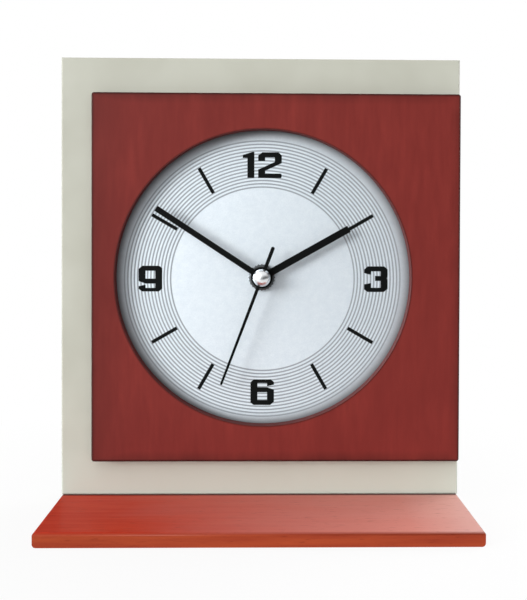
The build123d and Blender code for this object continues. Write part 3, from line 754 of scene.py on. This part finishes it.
class CLOCK_OT_dial(bpy.types.Operator):
    """Finish the dial and print its rings, batons and numerals"""

    bl_idname = "table_clock.dial"
    bl_label = "Dial"

    def execute(self, context):
        sizes = settings().dial_print
        colours = settings().colours
        dress(silver_dial_finish(), "dial_plate")
        grey = mottled_finish("ring_print", *two_tones(colours.ring_grey, 0.9), 3000, 0.5, specular=0.25)
        black = mottled_finish("black_print", *two_tones(colours.print_black, 0.7), 2500, 0.5, specular=0.06)
        place = FACE @ Matrix.Translation((sizes.print_right, sizes.print_up, 0))

        rings = bmesh.new()
        top = sizes.print_height / 2
        for number in range(sizes.ring_count):
            inner = sizes.ring_radius + number * sizes.ring_pitch - sizes.ring_width / 2
            outer = inner + sizes.ring_width
            spin_section(rings, [(inner, 0), (outer, 0), (outer, top), (inner, top)], RING_STEPS)
        add_piece("dial_rings", finish_mesh(rings, place), grey, "clock_body")

        batons = bmesh.new()
        middle = (sizes.baton_start + sizes.baton_end) / 2
        lift = Matrix.Translation((0, middle, sizes.print_height / 2))
        size = (sizes.baton_width, sizes.baton_end - sizes.baton_start, sizes.print_height)
        for hour in range(12):
            if hour % 3 == 0:
                continue
            turn = Matrix.Rotation(-FULL_TURN * hour / 12, 4, "Z")
            bmesh.ops.create_cube(batons, size=1, matrix=turn @ lift @ Matrix.Diagonal((*size, 1)))
        add_piece("hour_batons", finish_mesh(batons, place), black, "clock_body")

        height, width, cut = sizes.numeral_height, sizes.numeral_width, sizes.numeral_cut
        stem, bar, reach = sizes.numeral_stem, sizes.numeral_bar, sizes.numeral_radius
        nine = figure_nine(height, width, stem, bar, cut)
        two_across = 0.3 * width
        one_across = two_across - (width + stem) / 2 - sizes.twelve_gap
        half_turn = Matrix.Rotation(math.pi, 4, "Z")
        numerals = bmesh.new()
        for outlines, shift in (
            (figure_one(height, stem, bar), Matrix.Translation((one_across, reach, 0))),
            (figure_two(height, width, stem, bar, cut), Matrix.Translation((two_across, reach, 0))),
            (figure_three(height, width, stem, bar, cut), Matrix.Translation((reach, 0, 0))),
            (nine, Matrix.Translation((0, -reach, 0)) @ half_turn),
            (nine, Matrix.Translation((sizes.nine_inset - reach, 0, 0))),
        ):
            raise_figure(numerals, outlines, sizes.print_height, shift)
        add_piece("numerals", finish_mesh(numerals, place), black, "clock_body")
        return {"FINISHED"}


class CLOCK_OT_hands(bpy.types.Operator):
    """Finish the hands and make their bright cap and the knurled nut"""

    bl_idname = "table_clock.hands"
    bl_label = "Hands"

    def execute(self, context):
        sizes = settings().fittings
        colours = settings().colours
        paint = mottled_finish("hand_paint", *two_tones(colours.hand_black, 0.6), 1800, 0.5, specular=0.06)
        dress(paint, "hour_hand", "minute_hand", "second_hand")

        low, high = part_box("hand_cap")
        radius, height = (high.x - low.x) / 2, high.y - low.y
        sphere_radius = (radius ** 2 + height ** 2) / (2 * height)
        dome = bmesh.new()
        bmesh.ops.create_uvsphere(
            dome, u_segments=72, v_segments=48, radius=sphere_radius,
            matrix=Matrix.Translation((0, 0, height - sphere_radius)),
        )
        cut = bmesh.ops.bisect_plane(
            dome, geom=dome.verts[:] + dome.edges[:] + dome.faces[:], plane_co=(0, 0, 0), plane_no=(0, 0, 1),
            clear_inner=True,
        )
        bmesh.ops.edgeloop_fill(dome, edges=only(cut["geom_cut"], bmesh.types.BMEdge))
        dome = finish_mesh(dome, on_hands_axis(high.y))
        tones = srgb(236, 238, 240), srgb(226, 229, 232)
        chrome = mottled_finish("bright_plating", *tones, 900, 0.3, 1.0, 0.01)
        add_piece("domed_cap", dome, chrome, "seconds", ["hand_cap"], 40)

        low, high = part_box("bush_nut")
        outer, height = (high.x - low.x) / 2, high.y - low.y
        bore = NUT_BORE_RADIUS
        collar = bore + 0.5 * (outer - bore)
        bevel, shoulder = sizes.nut_bevel, height - sizes.nut_step
        nut = bmesh.new()
        spin_section(
            nut,
            [(bore, 0), (outer, 0), (outer, shoulder - bevel), (outer - bevel, shoulder),
             (collar + bevel, shoulder), (collar, height), (bore, height)],
            4 * sizes.knurl_count,
        )
        bmesh.ops.remove_doubles(nut, verts=nut.verts, dist=MERGE_DISTANCE)
        for vertex in nut.verts:
            if vertex.co.xy.length > outer - 0.5 * bevel:
                turn = math.atan2(vertex.co.y, vertex.co.x) * sizes.knurl_count
                vertex.co.xy *= 1 - sizes.knurl_depth / outer * (0.5 - 0.5 * math.cos(turn))
        nut = finish_mesh(nut, on_hands_axis(high.y))
        steel = turned_finish("blackened_steel", *two_tones(colours.nut_grey, 0.4), face_origin, 0.42, 22000)
        add_piece("knurled_nut", nut, steel, "clock_body", ["bush_nut"], 35)
        return {"FINISHED"}


class CLOCK_OT_screws(bpy.types.Operator):
    """Make the wood screws with their cross recesses"""

    bl_idname = "table_clock.screws"
    bl_label = "Screws"

    def execute(self, context):
        steel = mottled_finish("screw_zinc", srgb(176, 178, 180), srgb(140, 143, 147), 1600, 0.32, 1.0)
        # The solid heads' boxes reach to the corners of their flats
        radius = settings().fittings.screw_head_diameter / 2 / math.cos(math.pi / SOLID_SCREW_FLATS)

        low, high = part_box("frame_screws")
        backwards = Matrix.Rotation(-math.pi / 2, 4, "X")
        places = [
            Matrix.Translation((across, high.y, up)) @ backwards
            for across in (low.x + radius, high.x - radius) for up in (low.z + radius, high.z - radius)
        ]
        add_screws("frame_wood_screws", "frame_screws", high.y - low.y, places, steel)

        low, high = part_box("base_screws")
        downwards = Matrix.Rotation(math.pi, 4, "X")
        places = [
            Matrix.Translation((across, (low.y + high.y) / 2, low.z)) @ downwards
            for across in (low.x + radius, high.x - radius)
        ]
        add_screws("base_wood_screws", "base_screws", high.z - low.z, places, steel)
        return {"FINISHED"}


class CLOCK_OT_movement(bpy.types.Operator):
    """Finish the quartz movement inside and out"""

    bl_idname = "table_clock.movement"
    bl_label = "Movement"

    def execute(self, context):
        tones = two_tones(settings().colours.housing_black, 0.75)
        housing = mottled_finish("moulded_housing", *tones, 1500, 0.55, bump=0.16)
        dress(housing, "movement_case", "movement_cover")
        for name, light, dark, scale, roughness, metallic, bump, nodes in MOVEMENT_FINISHES:
            dress(mottled_finish(name, srgb(*light), srgb(*dark), scale, roughness, metallic, bump), *nodes)
        tones = srgb(206, 170, 98), srgb(176, 140, 74)
        dress(turned_finish("turned_brass", *tones, face_origin, 0.28, 16000), "minute_arbor")
        dress(wound_wire_finish(), "coil_winding")
        return {"FINISHED"}


class CLOCK_OT_battery(bpy.types.Operator):
    """Make the battery: a steel can with its nub, in a printed jacket"""

    bl_idname = "table_clock.battery"
    bl_label = "Battery"

    def execute(self, context):
        low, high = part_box("battery")
        centre = (low + high) / 2
        place = Matrix.Translation((low.x, centre.y, centre.z)) @ Matrix.Rotation(math.pi / 2, 4, "Y")
        total, radius = high.x - low.x, (high.z - low.z) / 2
        nub_length, nub_radius = 1.3 * MM, 2.6 * MM
        dish, lip, wall = 0.3 * MM, 0.5 * MM, 0.12 * MM
        body_length = total - nub_length
        inner = radius - wall

        can = bmesh.new()
        spin_section(
            can,
            [(0, dish), (inner - 2 * lip, dish), (inner - lip, 0), (inner, lip), (inner, body_length - lip),
             (inner - lip, body_length), (nub_radius + 2 * lip, body_length),
             (nub_radius + lip, body_length - lip), (nub_radius, body_length - 0.4 * lip),
             (nub_radius, total - 0.4 * lip), (nub_radius - 0.4 * lip, total), (0, total)],
            BATTERY_STEPS,
        )
        can = finish_mesh(can, place)
        steel = mottled_finish("battery_steel", srgb(200, 201, 202), srgb(178, 180, 182), 1300, 0.26, 1.0)
        add_piece("battery_can", can, steel, "battery", ["battery"], 35)

        jacket = bmesh.new()
        start, end = 0.5 * lip, body_length - 0.5 * lip
        spin_section(
            jacket,
            [(inner, start + lip), (inner - 0.6 * lip, start), (inner - 0.3 * lip, start - 0.1 * lip),
             (radius, start + lip), (radius, end - lip), (inner - 0.3 * lip, end + 0.1 * lip),
             (inner - 0.6 * lip, end), (inner, end - lip)],
            BATTERY_STEPS,
        )
        jacket = finish_mesh(jacket, place)
        film = battery_jacket_finish(low.x, total)
        add_piece("battery_jacket", jacket, film, "battery", (), 40)
        return {"FINISHED"}


def add_floor(shade_share, fade):
    """A plain pale floor that shows white and keeps a soft shadow beside the clock."""
    dim, pale, paler = ((level, level, level) for level in (0.6, 0.88, 0.92))
    middle, half_size = Vector((0, 0.6, -0.05 * MM)), Vector((1.5, 0.85, 1))
    finish = Finish("pale_floor")
    path = finish.node("ShaderNodeLightPath").outputs
    shown = path["Is Camera Ray"]
    for ray in ("Is Glossy Ray", "Is Transmission Ray"):
        shown = finish.math("MAXIMUM", shown, path[ray])
    clouds = finish.blend(finish.noise(8, detail=2), pale, paler)
    finish.surface(base_color=finish.blend(shown, dim, clouds), roughness=0.9)
    white = finish.node("ShaderNodeEmission", {"Color": (1, 1, 1), "Strength": 1.0})
    whiteness = finish.ramp(finish.span(finish.place()), 0, fade, 1 - shade_share, 1)
    mixed = finish.node("ShaderNodeMixShader", {
        0: finish.times(shown, whiteness), 1: finish.shader.outputs["BSDF"], 2: white.outputs["Emission"],
    })
    finish.feed(finish.tree.nodes["Material Output"].inputs["Surface"], mixed.outputs["Shader"])
    build = bmesh.new()
    bmesh.ops.create_grid(
        build, x_segments=4, y_segments=4, size=1,
        matrix=Matrix.Translation(middle) @ Matrix.Diagonal((*half_size, 1)),
    )
    floor = new_object("floor", build, finish.material)


def light_room(scene, stage):
    """An even light, most from the upper left in front, and a white background."""
    world = bpy.data.worlds.new("white_room")
    world.use_nodes = True
    room = NodeBench(world.node_tree)
    path = room.node("ShaderNodeLightPath").outputs
    direction = room.node("ShaderNodeTexCoord").outputs["Generated"]

    def facing(side, dim, bright):
        """A level that goes from dim to bright as the direction turns towards a side of the room."""
        towards, start, end = side
        turned = room.node("ShaderNodeVectorMath", {0: direction, 1: towards}, operation="DOT_PRODUCT")
        return room.ramp(turned.outputs["Value"], start, end, dim, bright)

    fill = facing(FILL_SIDE, stage.back_fill, stage.front_fill)
    level = room.math("ADD", fill, facing(TOP_SIDE, 0.0, stage.top_fill))
    bright = facing(BRIGHT_SIDE, stage.front_mirror, 1.0)
    mirrored = room.times(bright, facing(DARK_SIDE, 1.0, DARK_LEVEL))
    rays = {"Is Glossy Ray": mirrored, "Is Transmission Ray": mirrored, "Is Camera Ray": 1.0}
    for ray, shown in rays.items():
        level = room.node("ShaderNodeMix", {"Factor": path[ray], 2: level, 3: shown}).outputs[0]
    background = room.tree.nodes["Background"]
    room.feed(background.inputs["Color"], (1, 1, 1))
    room.feed(background.inputs["Strength"], level)
    scene.world = world


def add_soft_light(name, power, size, direction, distance):
    """A square light that faces the dial from a direction."""
    light = bpy.data.lights.new(name, "AREA")
    light.energy = power
    light.size = size
    lamp = bpy.data.objects.new(name, light)
    lamp.location = face_origin + direction.normalized() * distance
    lamp.rotation_euler = direction.to_track_quat("Z", "Y").to_euler()
    bpy.context.scene.collection.objects.link(lamp)
    return lamp


def add_camera(scene, stage):
    """The photograph's viewpoint."""
    camera = bpy.data.cameras.new("photo_camera")
    camera.sensor_width = 36
    camera.lens = stage.camera_lens
    camera.shift_x, camera.shift_y = stage.camera_shift
    camera.clip_start = 10 * MM
    viewer = bpy.data.objects.new("photo_camera", camera)
    yaw, pitch, roll = stage.camera_turn
    turn = Matrix.Rotation(yaw, 4, "Z") @ Matrix.Rotation(pitch, 4, "X") @ Matrix.Rotation(roll, 4, "Y")
    viewer.matrix_world = Matrix.Translation(stage.camera_place) @ turn @ STAND_UP
    scene.collection.objects.link(viewer)
    scene.camera = viewer


class CLOCK_OT_stage(bpy.types.Operator):
    """Set the floor, the light and the camera"""

    bl_idname = "table_clock.stage"
    bl_label = "Stage"

    def execute(self, context):
        stage = settings().stage
        scene = context.scene
        scene.view_settings.view_transform = "Standard"
        add_floor(stage.floor_shade, stage.floor_fade)
        light_room(scene, stage)
        add_soft_light("key_light", stage.key_power, stage.key_size, *KEY_STAND)
        add_soft_light("back_light", stage.back_power, stage.back_size, *BACK_STAND)
        card = add_soft_light("card", stage.card_power, stage.card_size, *CARD_STAND)
        card.visible_diffuse = False
        glance = add_soft_light("side_light", stage.side_power, stage.side_size, *SIDE_STAND)
        glance.visible_glossy = False
        add_camera(scene, stage)
        return {"FINISHED"}


class CLOCK_PT_sidebar(bpy.types.Panel):
    """The clock's settings and steps"""

    bl_idname = "CLOCK_PT_sidebar"
    bl_label = "Table clock"
    bl_space_type = "VIEW_3D"
    bl_region_type = "UI"
    bl_category = "Table clock"

    def draw(self, context):
        for name in ("dial_print", "fittings", "colours", "stage"):
            group = getattr(context.scene.table_clock, name)
            box = self.layout.box()
            for setting in group.bl_rna.properties:
                if setting.identifier not in ("rna_type", "name"):
                    box.prop(group, setting.identifier)
        for operator in OPERATORS:
            self.layout.operator(operator.bl_idname)


OPERATORS = (
    CLOCK_OT_wooden_body, CLOCK_OT_dial, CLOCK_OT_hands, CLOCK_OT_screws, CLOCK_OT_movement, CLOCK_OT_battery,
    CLOCK_OT_stage,
)
CLASSES = (
    ClockPrintProperties, ClockFittingProperties, ClockColourProperties, ClockStageProperties,
    TableClockProperties, *OPERATORS, CLOCK_PT_sidebar,
)


def register():
    for item in CLASSES:
        bpy.utils.register_class(item)
    bpy.types.Scene.table_clock = PointerProperty(type=TableClockProperties)


def unregister():
    del bpy.types.Scene.table_clock
    for item in reversed(CLASSES):
        bpy.utils.unregister_class(item)


def main():
    register()
    bpy.ops.table_clock.wooden_body()
    bpy.ops.table_clock.dial()
    bpy.ops.table_clock.hands()
    bpy.ops.table_clock.screws()
    bpy.ops.table_clock.movement()
    bpy.ops.table_clock.battery()
    bpy.ops.table_clock.stage()


if __name__ == "__main__":
    main()
